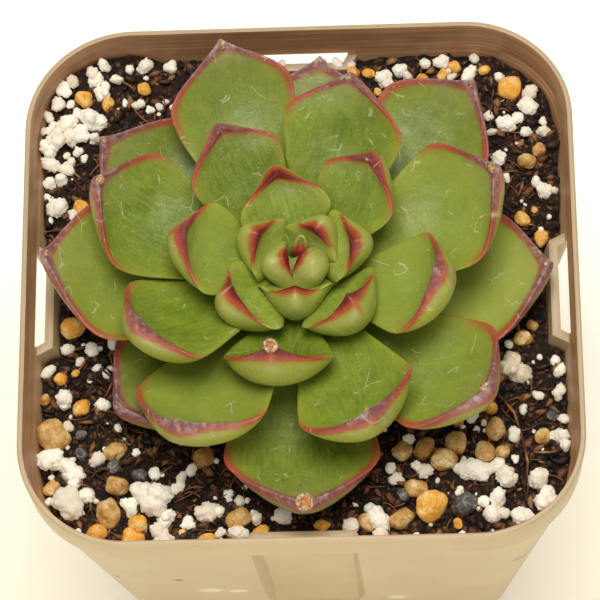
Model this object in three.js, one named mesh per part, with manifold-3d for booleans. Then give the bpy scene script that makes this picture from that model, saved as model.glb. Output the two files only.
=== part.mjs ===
// Potted echeveria: a rosette succulent in a square nursery pot.
// Millimetres, +Z up. The origin is the middle of the pot's foot, on the ground, and -Y is the front.
import * as THREE from "three";
import { mergeVertices } from "three/addons/utils/BufferGeometryUtils.js";
import Module from "manifold-3d";

const wasm = await Module();
wasm.setup();

const degrees = Math.PI / 180;

// Pieces that touch keep this much air between them
const gap = 0.3;

// The pot: a thin square shell with a broad rim band standing slightly proud
const potHeight = 78;
const rimHalf = 45;
const rimCorner = 17.6;
const footHalf = 33.6;
const footCorner = 7;
const wall = 0.9;
const bandHeight = 7.6;
const bandDraft = 0.4;
const bandStep = 0.4;
const lipRound = 0.3;
const bandFoot = potHeight - bandHeight;
const footDepth = 2.6;
const footWidth = 2.2;
const floorThickness = 1.4;
const floorTop = footDepth + floorThickness;
const drainRadius = 3.6;
const drainSpread = 17;
const drainSides = 16;
const cornerSteps = 6;

// The pocket in the middle of each side: a recess outside, a bump inside, and a slot behind the band
const pocketDepth = 2.15;
const pocketHalfOutside = 9;
const pocketHalfInside = 7.3;
const pocketFoot = 18;
const pocketSlope = 6;
const pocketFlare = 0.4;
const pocketRunOut = 0.05;
const pocketBeyond = 1.5;
const panelThickness = 1.4;
const panelInset = 0.35;
const panelSide = 1;
const panelTop = bandFoot - 0.4;

// The bed of soil, which rises toward the back, and further into the back left corner
const soilLevel = 66.8;
const backRise = 2.6;
const backReach = 43;
const cornerRise = 2.2;
const cornerStart = [-12, 8];
const cornerReach = [20, 30];
const soilRelief = 0.45;
const soilCells = 20;

// Stones lying on the bed: place and size, as seen from above
const whiteStones = [
  [-34.5, 39.5, 3.3], [-33, 37, 3.2], [-35, 31.5, 4], [-39, 31.5, 3.2], [-41, 28.5, 3.2], [-40.5, 17, 3.4],
  [28.5, 39, 3], [38, 33, 3.1], [34, 30, 3.2], [40, 18, 3], [-41, -27, 4], [-38, -28.5, 4.4],
  [-35, -32.5, 3.2], [-37.5, -34.5, 5], [-24, -33.5, 5.2], [-22, -37, 3], [-22.5, -41, 3.5],
  [-15.5, -36, 3.6], [27, -30.5, 4.6], [32.5, -32, 3.5], [31, -35, 3], [37.5, -32, 3.4],
  [38.5, -35, 3.6], [30, -38, 3.3], [12, -38, 3.9],
];
const goldenStones = [
  [-36, 35.5, 2.9], [-37.5, -4, 4.3], [-36, -18, 3.4], [-26.5, -38, 3.2], [-15.5, -41, 3],
  [-33, -39.5, 3.6], [-27.5, -40.5, 3.9], [35, 36, 4.2], [36.5, 13, 2.8], [20.5, -36.5, 5.2],
];
const tanStones = [
  [-40.5, -23, 5.2], [-30.5, -25.5, 3.8], [-16, -27, 3.7], [-30, -31.5, 3.7], [-31.5, -36, 5],
  [-10.5, -37.5, 3.9], [37.5, 23, 3.2], [16, -26.5, 3.6], [19.5, -26.5, 3.9], [22.5, -28.5, 4],
  [24.5, -25.5, 3.9], [29, -27, 3.5], [31, -23.5, 3.6], [18, -33, 3.3], [15.5, -38, 4],
  [10, -38.5, 3.3],
];
const slateAndPumice = [[25.5, -36, 4.8], [34.5, -12.5, 5.4]];

// A stone's breadth and height as shares of its size, how uneven stones are, and how high each sits
const stoneBreadth = 0.8;
const stoneHeight = 0.75;
const stoneUneven = 0.15;
const stoneStand = 0.15;

// The rosette: each leaf turns the golden angle from the last, counted outward from the heart
const rosetteX = 0;
const rosetteY = 1.5;
const firstTurn = 110.5;
const goldenTurn = 137.5;
const outermost = 29;
const heartLeaves = 3;
const riseFrom = 68;

// Each leaf in turn, the innermost first: turn off the spiral, reach and rise of the tip, width, the
// slope it leaves the stem with, the slope of its tip, lift of its edges, roll, and sideways bow.
// The last two are how far each end's slope pulls on the curve, as a share of the leaf's length.
const leafRows = [
  [-30, 0.6, 11.4, 4, 60, 110, 0.3, 0, 0, 0.4, 0.4],
  [-3, -0.4, 14.0, 10, 55, 125, 0.45, 0, 0, 0.5, 0.4],
  [-4, 1.0, 14.4, 10.5, 65, 115, 0.45, 0, 0, 0.5, 0.4],
  [-6, 4.0, 15.6, 12, 45, 128, 0.35, 0, 0, 0.55, 0.4],
  [-15, 5.2, 15.2, 13.5, 30, 135, 0.45, 6, 0, 0.6, 0.45],
  [12, 6.0, 16.6, 11.5, 40, 122, 0.4, 0, 0, 0.6, 0.4],
  [0, 8.2, 17.2, 12.5, 42, 112, 0.35, 0, 1.5, 0.6, 0.35],
  [-18, 11.5, 16.8, 14, 25, 115, 0.4, 0, 2, 0.56, 0.4],
  [13, 12, 18.8, 15, 50, 100, 0.38, 0, 0, 0.45, 0.32],
  [-1, 11.5, 18.6, 15, 20, 120, 0.35, 0, 0, 0.6, 0.4],
  [-3, 17.2, 20.6, 16, 35, 105, 0.32, 0, 0.7, 0.45, 0.35],
  [12, 17.6, 21, 14.5, 42, 95, 0.34, 0, -1, 0.42, 0.32],
  [-3, 18, 21.2, 18, 12, 105, 0.1, 10, 0.5, 0.6, 0.45],
  [-2, 22.3, 21.8, 16.5, 38, 85, 0.32, 0, 0.7, 0.42, 0.3],
  [-1, 22.2, 22, 18, 25, 105, 0.26, 0, -0.7, 0.5, 0.38],
  [0, 27.4, 21.2, 19, 22, 95, 0.22, 14, 0, 0.46, 0.35],
  [2, 29.2, 21.8, 20, 30, 72, 0.28, 0, -1, 0.4, 0.3],
  [-2, 30.6, 20.6, 20, 20, 90, 0.22, 9, 0, 0.48, 0.38],
  [4, 33.3, 20.6, 21, 22, 75, 0.28, 0, 1.5, 0.42, 0.32],
  [3, 33.6, 20.2, 22, 20, 75, 0.28, 0, -1.5, 0.4, 0.32],
  [-3, 34.5, 18.6, 23, 12, 80, 0.2, 20, 0, 0.46, 0.35],
  [5, 38.6, 17.8, 21, 16, 55, 0.25, 0, 1.5, 0.4, 0.3],
  [-5, 37.8, 17, 22, 10, 72, 0.22, 0, -0.5, 0.45, 0.32],
  [-10, 40.5, 15.5, 25, 8, 50, 0.22, 0, 1, 0.4, 0.3],
  [-4, 41.5, 14, 22, 8, 45, 0.24, 0, 0, 0.4, 0.3],
  [-2, 40.5, 12, 25, 3, 60, 0.2, 0, -0.5, 0.45, 0.35],
  [9, 39, 12, 23, 2, 45, 0.22, 0, -1, 0.4, 0.3],
  [2, 40, 9.2, 24, -3, 45, 0.22, 0, -1, 0.4, 0.3],
  [-3, 36.5, 8, 22, -5, 50, 0.22, 0, 0, 0.4, 0.3],
  [2, 40, 4.5, 24, -8, 25, 0.2, 0, 0, 0.4, 0.3],
];

// From the innermost leaf to the outermost: where it leaves the stem, and how thick it is
const attachRadius = [1.5, 4];
const attachHeight = [78, 70.5];
const leafThickness = [4.2, 4.8];

// The blade's outline: its narrow base as a share of its width, and the length of its pointed end as a
// share of its width, with how full that end is. The ends of young leaves are rounder. A blade is a little
// longer than the chord from its base to its tip.
const baseShare = 0.32;
const endLength = 0.54;
const endFullness = 0.3;
const endRounding = [0.6, 1];
const roundedUntil = 0.35;
const bladeOverChord = 1.06;

// The blade's section: its edges lift over the first part of its length, and its belly fills out.
// It has stations across its upper face, edge to edge, and back under its belly.
const liftOver = 0.45;
const edgePower = 2.2;
const bellyOver = 0.5;
const baseThickness = 0.55;
const bellyPower = 2.4;
const bellyRound = 0.62;
const tipThinning = 7;
const acrossTop = [-1, -0.72, -0.38, 0, 0.38, 0.72, 1];
const acrossUnder = [0.7, 0, -0.7];

// The upper face rolls down toward the rim, the more the younger the leaf is
const rimDrop = [1.6, 0.5];
const rimSpan = [3.6, 1.0];
const rimAged = 0.6;

// The stations along a blade lie closer together toward its tip
const leafStations = 9;
const stationCrowding = 1.35;

// The growing tip that the heart's leaves close round: two plump halves pressed together
const budCentre = [-0.9, 1, 77.4];
const budRadius = [1.7, 2.7, 3.4];
const budApart = 1.2;
const budNarrowing = 0.25;
const budSides = 14;
const budRings = 8;

// The stem, as radius and height, from its root end up to the heart
const stemProfile = [
  [0, 46], [1.2, 47], [2.6, 56], [4.2, 64], [4.8, 69], [4.4, 72.5], [3.2, 76], [1.6, 78.6], [0, 79],
];
const stemSides = 16;

// Materials
function material(name, color, roughness) {
  const made = new THREE.MeshStandardMaterial({ color, roughness, metalness: 0 });
  made.name = name;
  return made;
}
const potPlastic = material("pot_plastic", "#c2aa84", 0.45);
const soilMix = material("soil_mix", "#3b2a20", 0.95);
const stemSkin = material("stem_skin", "#8c9a55", 0.7);
const heartSkin = material("heart_skin", "#a0aa5a", 0.5);
const innerLeafSkin = material("inner_leaf_skin", "#8b9a48", 0.5);
const middleLeafSkin = material("middle_leaf_skin", "#7f8f3d", 0.5);
const outerLeafSkin = material("outer_leaf_skin", "#788838", 0.55);

function leafSkin(count) {
  if (count < 10) {
    return innerLeafSkin;
  }
  return count < 20 ? middleLeafSkin : outerLeafSkin;
}

// A seeded draw between 0 and 1, the same on every run
function seededDraw(seed) {
  let state = seed >>> 0;
  return () => {
    state = (Math.imul(state, 1664525) + 1013904223) >>> 0;
    return state / 4294967296;
  };
}

function smoothStep(x) {
  const t = Math.min(Math.max(x, 0), 1);
  return t * t * (3 - 2 * t);
}

// Closed solids, and the meshes made from them
function solidOf(positions, indices) {
  return new wasm.Manifold(new wasm.Mesh({
    numProp: 3,
    vertProperties: new Float32Array(positions),
    triVerts: new Uint32Array(indices),
  }));
}

function solidOfGeometry(geometry) {
  const bare = geometry.clone();
  bare.deleteAttribute("normal");
  bare.deleteAttribute("uv");
  const merged = mergeVertices(bare, 1e-5);
  return solidOf(merged.attributes.position.array, merged.index.array);
}

function joined(solids) {
  return solids.reduce((whole, solid) => whole.add(solid));
}

function largestBody(solid) {
  return solid.decompose().reduce((best, body) => (body.volume() > best.volume() ? body : best));
}

function boxesMeet(one, other) {
  const a = one.boundingBox();
  const b = other.boundingBox();
  return [0, 1, 2].every((k) => a.min[k] < b.max[k] && b.min[k] < a.max[k]);
}

function cutBy(solid, cutters) {
  const near = cutters.filter((cutter) => boxesMeet(solid, cutter));
  return largestBody(near.reduce((left, cutter) => left.subtract(cutter), solid));
}

function meshOf(name, solid, skin) {
  const data = solid.getMesh();
  const geometry = new THREE.BufferGeometry();
  geometry.setAttribute("position", new THREE.BufferAttribute(data.vertProperties, 3));
  geometry.setIndex(new THREE.BufferAttribute(data.triVerts, 1));
  geometry.computeVertexNormals();
  const mesh = new THREE.Mesh(geometry, skin);
  mesh.name = name;
  return mesh;
}

// A closed skin over rings of equal count, drawn to a point at each end
function loft(rings, firstPoint, lastPoint) {
  const count = rings[0].length;
  const indices = [];
  for (let ring = 0; ring + 1 < rings.length; ring += 1) {
    for (let i = 0; i < count; i += 1) {
      const a = ring * count + i;
      const b = ring * count + ((i + 1) % count);
      indices.push(a, b, a + count, b, b + count, a + count);
    }
  }
  const first = rings.length * count;
  const lastRing = first - count;
  for (let i = 0; i < count; i += 1) {
    const next = (i + 1) % count;
    indices.push(i, first, next, lastRing + i, lastRing + next, first + 1);
  }
  return solidOf([...rings.flat(), firstPoint, lastPoint].flat(), indices);
}

// The pot
function roundedSquare(half, corner, z) {
  const ring = [];
  const centre = half - corner;
  for (let side = 0; side < 4; side += 1) {
    const signX = side === 0 || side === 3 ? 1 : -1;
    const signY = side < 2 ? 1 : -1;
    for (let step = 0; step <= cornerSteps; step += 1) {
      const turn = 90 * (side + step / cornerSteps) * degrees;
      ring.push([signX * centre + corner * Math.cos(turn), signY * centre + corner * Math.sin(turn), z]);
    }
  }
  return ring;
}

function wallHalf(z) {
  return footHalf + (rimHalf - bandDraft - bandStep - footHalf) * (z / bandFoot);
}

function bandHalf(z) {
  return rimHalf - bandDraft * ((potHeight - z) / bandHeight);
}

function cornerAt(z) {
  return footCorner + (rimCorner - footCorner) * (z / potHeight);
}

// The pot's outline moved inward by an inset, at each height, on the wall or on the rim band
function potShape(inset, levels) {
  const rings = levels.map(([z, halfAt, trim]) =>
    roundedSquare(halfAt(z) - inset - trim, cornerAt(z) - inset - trim, z));
  return loft(rings, [0, 0, levels[0][0]], [0, 0, levels.at(-1)[0]]);
}

// A wedge for one side pocket, lying along +X, that runs out to nothing at its foot
function pocketWedge(halfFar, halfNear, farther, nearer, foot, top) {
  const rings = [[foot, pocketRunOut], [foot + pocketSlope, 1], [top, 1]].map(([z, share]) => {
    const far = wallHalf(z) + farther;
    const near = wallHalf(z) - nearer * share;
    return [[far, -halfFar, z], [far, halfFar, z], [near, halfNear, z], [near, -halfNear, z]];
  });
  const middle = (ring) => [(ring[0][0] + ring[2][0]) / 2, 0, ring[0][2]];
  return loft(rings, middle(rings[0]), middle(rings[2]));
}

function onEachSide(solid) {
  return joined([0, 90, 180, 270].map((turn) => solid.rotate([0, 0, turn])));
}

function pocketBumps(extra) {
  const side = panelSide + extra;
  return onEachSide(pocketWedge(pocketHalfOutside + side, pocketHalfInside + side, -panelInset,
    pocketDepth + panelThickness + extra, pocketFoot - panelThickness - extra, panelTop + extra));
}

function pocketRecesses() {
  return onEachSide(pocketWedge(pocketHalfOutside + pocketFlare, pocketHalfInside, pocketBeyond,
    pocketDepth, pocketFoot, bandFoot));
}

function drainHoles() {
  const cylinder = new THREE.CylinderGeometry(drainRadius, drainRadius, 2 * floorThickness, drainSides);
  cylinder.rotateX(Math.PI / 2);
  const hole = solidOfGeometry(cylinder);
  const places = [[0, 0], [-drainSpread, -drainSpread], [-drainSpread, drainSpread],
    [drainSpread, -drainSpread], [drainSpread, drainSpread]];
  return joined(places.map(([x, y]) => hole.translate([x, y, footDepth + floorThickness / 2])));
}

function potInside(inset) {
  return potShape(inset, [[floorTop + inset - wall, wallHalf, 0], [bandFoot - bandStep, wallHalf, 0],
    [bandFoot + bandStep, bandHalf, 0], [potHeight + 1, bandHalf, 0]]);
}

function makePot() {
  const outside = potShape(0, [[0, wallHalf, 0], [bandFoot, wallHalf, 0], [bandFoot, bandHalf, 0],
    [potHeight - lipRound, bandHalf, 0], [potHeight, bandHalf, lipRound]]);
  const underFoot = potShape(footWidth, [[-1, wallHalf, 0], [footDepth, wallHalf, 0]]);
  return outside.subtract(potInside(wall)).subtract(underFoot).subtract(drainHoles())
    .add(pocketBumps(0)).subtract(pocketRecesses());
}

// The stem that every leaf sits on, with its root end in the soil
function makeStem(extra) {
  const outline = stemProfile.map(([radius, z], i) => (radius === 0
    ? new THREE.Vector2(0, z + (i === 0 ? -extra : extra))
    : new THREE.Vector2(radius + extra, z)));
  const lathe = new THREE.LatheGeometry(outline, stemSides);
  lathe.rotateX(Math.PI / 2);
  return solidOfGeometry(lathe).translate([rosetteX, rosetteY, 0]);
}

// The leaves
function leafForm(count) {
  const [turn, reach, rise, width, leave, arrive, lift, roll, bow, pullBase, pullTip] = leafRows[count];
  const age = Math.max(count - heartLeaves + 1, 0) / (outermost - heartLeaves + 1);
  const aged = ([young, old], full = 1) => young + (old - young) * Math.min(age / full, 1);
  const start = [aged(attachRadius), aged(attachHeight)];
  const end = [reach, riseFrom + rise];
  const chord = Math.hypot(end[0] - start[0], end[1] - start[1]);
  const near = pullBase * chord;
  const far = pullTip * chord;
  return {
    curve: new THREE.CubicBezierCurve(
      new THREE.Vector2(...start),
      new THREE.Vector2(start[0] + near * Math.cos(leave * degrees),
        start[1] + near * Math.sin(leave * degrees)),
      new THREE.Vector2(end[0] - far * Math.cos(arrive * degrees),
        end[1] - far * Math.sin(arrive * degrees)),
      new THREE.Vector2(...end),
    ),
    azimuth: (firstTurn - goldenTurn * count + turn) * degrees,
    shoulder: 1 - (endLength * width) / (bladeOverChord * chord),
    thickness: aged(leafThickness),
    rimDrop: aged(rimDrop, rimAged),
    rimSpan: aged(rimSpan, rimAged),
    rounding: aged(endRounding, roundedUntil),
    roll: roll * degrees,
    width,
    lift,
    bow,
  };
}

// Half the blade's width: a narrow base, broad shoulders and a pointed end
function halfWidth(form, share) {
  const { width, shoulder, rounding } = form;
  const beyond = (share - shoulder) / (1 - shoulder);
  const swell = share < shoulder
    ? baseShare + (1 - baseShare) * smoothStep(share / shoulder)
    : (1 - (1 + endFullness) * beyond ** 2 + endFullness * beyond ** 3) ** rounding;
  return (width / 2) * swell;
}

// A point of the leaf from its distance out, sideways and up, in the rosette
function inRosette(form, radius, side, z) {
  const cos = Math.cos(form.azimuth);
  const sin = Math.sin(form.azimuth);
  return [rosetteX + radius * cos - side * sin, rosetteY + radius * sin + side * cos, z];
}

// One section across the leaf: a cupped upper face, and a belly that bulges under it
function leafSection(form, share, extra) {
  const place = form.curve.getPoint(share);
  const along = form.curve.getTangent(share);
  const half = halfWidth(form, share);
  const lifted = form.lift * half * smoothStep(share / liftOver);
  const filled = baseThickness + (1 - baseThickness) * smoothStep(share / bellyOver);
  const thick = form.thickness * filled * Math.sqrt(1 - share ** tipThinning);
  const bow = form.bow * 4 * share * (1 - share);
  const edge = (v) => lifted * Math.abs(v) ** edgePower;
  const rolled = (v) => Math.max(1 - ((1 - Math.abs(v)) * half) / form.rimSpan, 0);
  const drop = (v) => form.rimDrop * (1 - Math.sqrt(1 - rolled(v) ** 2));
  const belly = (v) => Math.max(thick * (1 - Math.abs(v) ** bellyPower) ** bellyRound, drop(v));
  const top = acrossTop.map((v) => [v * (half + extra), edge(v) - drop(v) + extra]);
  const under = acrossUnder.map((v) => [v * (half + extra), edge(v) - belly(v) - extra]);
  return [...top, ...under].reverse().map(([side, height]) => {
    const across = side * Math.cos(form.roll) - height * Math.sin(form.roll) + bow;
    const above = side * Math.sin(form.roll) + height * Math.cos(form.roll);
    return inRosette(form, place.x - above * along.y, across, place.y + above * along.x);
  });
}

// A leaf, or the room it takes up with some extra round it. The skin of that room can fold where the leaf
// curls tightly, so it takes in the leaf itself.
function makeLeaf(form, extra) {
  const rings = [];
  for (let station = 0; station < leafStations; station += 1) {
    rings.push(leafSection(form, 1 - (1 - station / leafStations) ** stationCrowding, extra));
  }
  const start = form.curve.getPoint(0);
  const end = form.curve.getPoint(1);
  const outward = form.curve.getTangent(1);
  const beyond = gap + extra;
  const skin = loft(rings, inRosette(form, start.x - extra, 0, start.y),
    inRosette(form, end.x + beyond * outward.x, 0, end.y + beyond * outward.y));
  return extra > 0 ? skin.add(makeLeaf(form, 0)) : skin;
}

// One half of the growing tip, to the left or the right
function makeBud(side, extra) {
  const ball = new THREE.SphereGeometry(1, budSides, budRings);
  ball.rotateX(Math.PI / 2);
  const position = ball.attributes.position;
  const [width, depth, height] = budRadius.map((radius) => radius + extra);
  for (let i = 0; i < position.count; i += 1) {
    const narrow = 1 - budNarrowing * position.getZ(i);
    position.setXYZ(i, budCentre[0] + side * budApart + width * narrow * position.getX(i),
      budCentre[1] + depth * narrow * position.getY(i), budCentre[2] + height * position.getZ(i));
  }
  return solidOfGeometry(ball);
}

// The tight heart: its smallest leaves, grown together round the growing tip
function makeHeart(extra) {
  const solids = [makeBud(-1, extra), makeBud(1, extra)];
  for (let count = 0; count < heartLeaves; count += 1) {
    solids.push(makeLeaf(leafForm(count), extra));
  }
  return joined(solids);
}

// The soil, with its top dressing of stones
function soilHeight(x, y) {
  const back = backRise * smoothStep(y / backReach);
  const corner = cornerRise * smoothStep((cornerStart[0] - x) / cornerReach[0])
    * smoothStep((y - cornerStart[1]) / cornerReach[1]);
  const clods = Math.sin(0.9 * x + 1.3) * Math.cos(0.7 * y) + Math.sin(0.37 * x - 0.61 * y + 2);
  return soilLevel + back + corner + soilRelief * clods;
}

function makeBed() {
  const side = 2 * rimHalf;
  const box = new THREE.BoxGeometry(side, side, soilLevel, soilCells, soilCells, 1);
  box.translate(0, 0, soilLevel / 2);
  const position = box.attributes.position;
  for (let i = 0; i < position.count; i += 1) {
    if (position.getZ(i) > 0) {
      position.setZ(i, soilHeight(position.getX(i), position.getY(i)));
    }
  }
  return solidOfGeometry(box);
}

function makeStones() {
  const draw = seededDraw(7);
  const pebble = new THREE.IcosahedronGeometry(0.5, 0);
  return [...whiteStones, ...goldenStones, ...tanStones, ...slateAndPumice].map(([x, y, size]) => {
    const shape = pebble.clone();
    shape.rotateX(draw() * Math.PI);
    const length = 1 + stoneUneven * draw();
    shape.scale(size * length, size * (stoneBreadth + stoneUneven * draw()), size * stoneHeight);
    shape.rotateZ(draw() * Math.PI);
    shape.translate(x, y, soilHeight(x, y) + stoneStand * size);
    return solidOfGeometry(shape);
  });
}

function makeSoil(cutters) {
  const room = potInside(wall + gap).subtract(pocketBumps(gap));
  const filled = joined([makeBed(), ...makeStones()]).intersect(room);
  return cutBy(filled, cutters);
}

// The plant: each leaf gives way to the stem, to the leaves inside it and to the pot's pocket panels
function addPlant(group) {
  const growing = [makeStem(gap), makeHeart(gap), pocketBumps(gap)];
  group.add(meshOf("stem", makeStem(0), stemSkin));
  group.add(meshOf("heart", cutBy(makeHeart(0), [growing[0]]), heartSkin));
  for (let count = heartLeaves; count <= outermost; count += 1) {
    const form = leafForm(count);
    const leaf = cutBy(makeLeaf(form, 0), growing);
    group.add(meshOf(`leaf_${String(count).padStart(2, "0")}`, leaf, leafSkin(count)));
    growing.push(makeLeaf(form, gap));
  }
  return growing;
}

const group = new THREE.Group();
group.name = "potted_echeveria";
group.add(meshOf("pot", makePot(), potPlastic));
const growing = addPlant(group);
group.add(meshOf("soil", makeSoil(growing), soilMix));

export default group;
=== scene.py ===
import math

import bmesh
import bpy
import numpy as np
from mathutils import Euler, Matrix, Vector, noise


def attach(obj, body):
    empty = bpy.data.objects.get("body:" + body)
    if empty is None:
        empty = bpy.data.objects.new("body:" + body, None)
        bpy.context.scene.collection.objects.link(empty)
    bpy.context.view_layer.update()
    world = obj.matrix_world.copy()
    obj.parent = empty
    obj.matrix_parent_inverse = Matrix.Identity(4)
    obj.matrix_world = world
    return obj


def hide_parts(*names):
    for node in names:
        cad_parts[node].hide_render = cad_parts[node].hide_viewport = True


# Potted echeveria: the looks of a rosette of thick cupped leaves in a square nursery pot.
# +Z is up and -Y the front. Blender works in metres: a size with MM is one, and a size without it is in
# millimetres. Angles are in degrees.
MM = 0.001

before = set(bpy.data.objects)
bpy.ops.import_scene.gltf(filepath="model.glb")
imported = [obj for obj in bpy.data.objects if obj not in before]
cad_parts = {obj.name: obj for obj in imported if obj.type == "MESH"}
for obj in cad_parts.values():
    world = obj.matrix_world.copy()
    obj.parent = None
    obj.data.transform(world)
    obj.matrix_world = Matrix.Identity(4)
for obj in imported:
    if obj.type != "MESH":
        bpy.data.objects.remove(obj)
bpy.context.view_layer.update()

# The pot
POT_HEIGHT = 78 * MM
RIM_HALF = 45 * MM
RIM_CORNER = 17.6 * MM
FOOT_HALF = 33.6 * MM
FOOT_CORNER = 7 * MM
WALL = 0.9 * MM
BAND_FOOT = 70.4 * MM
BAND_DRAFT = 0.4 * MM
BAND_STEP = 0.4 * MM
FOOT_WIDTH = 2.2 * MM
FOOT_DEPTH = 2.6 * MM
FLOOR_TOP = 4 * MM
DRAIN_RADIUS = 3.6 * MM
DRAIN_SPREAD = 17 * MM
POCKET_DEPTH = 2.15 * MM
POCKET_HALF_OUTSIDE = 9 * MM
POCKET_HALF_INSIDE = 7.3 * MM
POCKET_FOOT = 18 * MM
POCKET_SLOPE = 6 * MM
PANEL_THICKNESS = 1.4 * MM
PANEL_INSET = 0.35 * MM
PANEL_SIDE = 1 * MM
PANEL_TOP = 70 * MM
POCKET_RUN_OUT = 0.05
POCKET_FLARE = 0.4 * MM
POCKET_BEYOND = 1.5 * MM
LIP_ROUND = 0.3 * MM
BAND_EASE = 0.05 * MM
EDGE_ROUND = 0.22 * MM
CLEARANCE = 0.3 * MM
CORNER_STEPS = 18
DRAIN_STEPS = 40
# The share of the inner wall's painted shade that the pockets' panels take
PANEL_SHADE_SHARE = 0.25

# Marks on the pot's front, as place, size in millimetres and tint
POT_MARKS = [
    ((-32.5, -39, 43), 1.2, "#4a3524"), ((-22, -40.5, 44.5), 1.3, "#3e2c1e"),
    ((-17.5, -38.5, 32.5), 3.2, "#dcd0b6"), ((-13, -38.5, 31), 2.4, "#dcd0b6"),
    ((14, -36.5, 20), 2.6, "#dcd0b6"), ((35.5, -37.5, 45), 1.8, "#6f573e"),
    ((34, -39, 48), 1.4, "#6f573e"), ((37.5, -35.5, 52), 1.6, "#6f573e"),
]

# The soil, and where the lowest leaf lies close over it
LOW_LEAF_AT, LOW_LEAF_REACH = (3, 27), 9.5
PRESSED = 0.4
CRUMB_RELIEF = 0.55
CRUMB_SIZE = 1.7
SOIL_LEVEL = 66.8
BACK_RISE = 2.6
BACK_REACH = 43
CORNER_RISE = 2.2
CORNER_START = (-12, 8)
CORNER_REACH = (20, 30)
SOIL_RELIEF = 0.45
SOIL_HALF = 45
SOIL_CELLS = 210

# Loose grains are drawn within this reach, and kept inside the wall and off the pockets
BED_REACH = 43
BED_HALF = 43.2
POCKET_WIDE, POCKET_IN = 10.5, 39.5

# The stones that lie on the soil, as x, y and size in millimetres, and the size from which perlite is coarse
COARSE_PERLITE = 2.5
PERLITE = [
    (-32.5, 41.5, 2.2), (-34.5, 39.5, 3.3), (-26, 41.5, 2.6), (-28.5, 41, 1.7), (-21.5, 41.5, 1.9),
    (-30.5, 39, 2), (-38, 38.5, 2.1), (-39.5, 37, 2.3), (-33, 37, 3.2), (-40.5, 34.5, 2.5),
    (-38.5, 35, 1.5), (-35, 31.5, 4), (-39, 31.5, 3.2), (-41.5, 31, 2), (-42, 30, 2.1),
    (-41, 28.5, 3.2), (-41.5, 26.5, 2.5), (-39, 26, 1.2), (-37, 26.5, 1.8), (-41.5, 24.5, 2.8),
    (-39, 23.5, 2.3), (-42, 21.5, 2), (-40.5, 17, 3.4), (-38, 16, 1.9), (-42, 18.5, 1.5),
    (-27.5, 34, 1.5), (-26.5, 34.5, 1.5), (-25, 33.5, 1.5), (-23.5, 34.5, 1.4), (-21, 34.5, 1.7),
    (-34.5, 28.5, 2.1), (-33.2, 31.2, 2.6), (-36.5, 29.5, 2.8), (-38.2, 28.5, 2.6), (-42.3, 32.8, 1.8),
    (-42.5, 27.5, 2.2), (-40, 22, 2.4), (-38.3, 24.8, 1.7), (-36, 25.5, 1.4), (-37, 33, 1.9),
    (-6, 42, 1.4), (-3, 42, 1.4), (14, 38.5, 2.7), (17, 40, 2.1), (18, 39, 1.8),
    (21, 41.5, 1.9), (24, 41.5, 2.3), (29.5, 42, 1.8), (28.5, 39, 3), (25.5, 38.5, 1.7),
    (33.5, 38.5, 1.8), (38.5, 35.5, 2.5), (38, 33, 3.1), (36, 31, 2.4), (34, 30, 3.2), (31.5, 31, 1.7),
    (32, 28.5, 1.7), (37.5, 28.5, 2.2), (40.5, 28.5, 2), (40.5, 30.5, 1.5), (33, 24, 2.6),
    (34, 20.5, 1.4), (39, 20, 1.8), (40, 18, 3), (42, 18, 1.3), (41, 13.5, 1), (39.5, 11.5, 1.1),
    (4, 42, 1.4), (6.5, 42, 1.8), (8.5, 41.5, 1.7), (-38.5, -7.5, 2), (-34.5, -8, 2.4), (-31, -7, 2),
    (-36.5, -10, 1.7), (-33.5, -11, 1.5), (-32, -12, 1.4), (-41.5, -11.5, 2.4), (-39, -16.5, 2.9),
    (-32.5, -17.5, 2.1), (-30, -21.5, 1.6), (-38, -21.5, 1.6), (-29, -23.5, 1.1), (-41, -27, 4),
    (-38, -28.5, 4.4), (-33.5, -27, 2.4), (-27, -26, 1.4), (-37, -31, 1.8), (-35, -32.5, 3.2),
    (-37.5, -34.5, 5), (-41, -34, 1.5), (-36.5, -39, 1.3), (-24, -33.5, 5.2), (-28, -34.5, 2.5),
    (-27.5, -36.5, 2), (-20.5, -32, 2.5), (-19.5, -30.5, 2), (-18, -29, 1.9), (-24, -29.5, 2),
    (-22, -37, 3), (-18.5, -38, 2.6), (-23, -39.5, 2.6), (-22.5, -41, 3.5), (-15.5, -36, 3.6),
    (-13.5, -36.5, 1.8), (-13.5, -39.5, 1.8), (-10.5, -40, 2.9), (-10.5, -34.5, 2), (-12, -33, 1.6),
    (-7.5, -37.5, 2), (-3.5, -37, 2.6), (27, -30.5, 4.6), (19.5, -30, 2.6), (14, -29.5, 1.9),
    (18, -29.5, 1.6), (15, -31.5, 2.5), (17, -24.5, 2), (27.5, -21, 2.2), (34, -24, 2.4),
    (38, -17.5, 1.7), (41.5, -17.5, 2.3), (42, -21.5, 1.8), (41, -11.5, 1.6), (41.5, -13.5, 2.2),
    (35.5, -20, 1.6), (41, -25, 2.8), (42, -26.5, 1.8), (31, -29.5, 2.3), (34, -28.5, 1.4),
    (32.5, -32, 3.5), (31, -35, 3), (37.5, -32, 3.4), (38.5, -35, 3.6), (40, -36, 1.8), (30, -38, 3.3),
    (32, -37, 2.2), (34.5, -38, 2.8), (28.5, -35.5, 2.1), (12, -38, 3.9), (10.5, -36, 1.7),
    (7.5, -39.5, 2.9), (12, -41, 2.6), (25, -41, 1.5), (33.5, -9, 1.6), (25, -33.5, 1.4),
]
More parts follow.
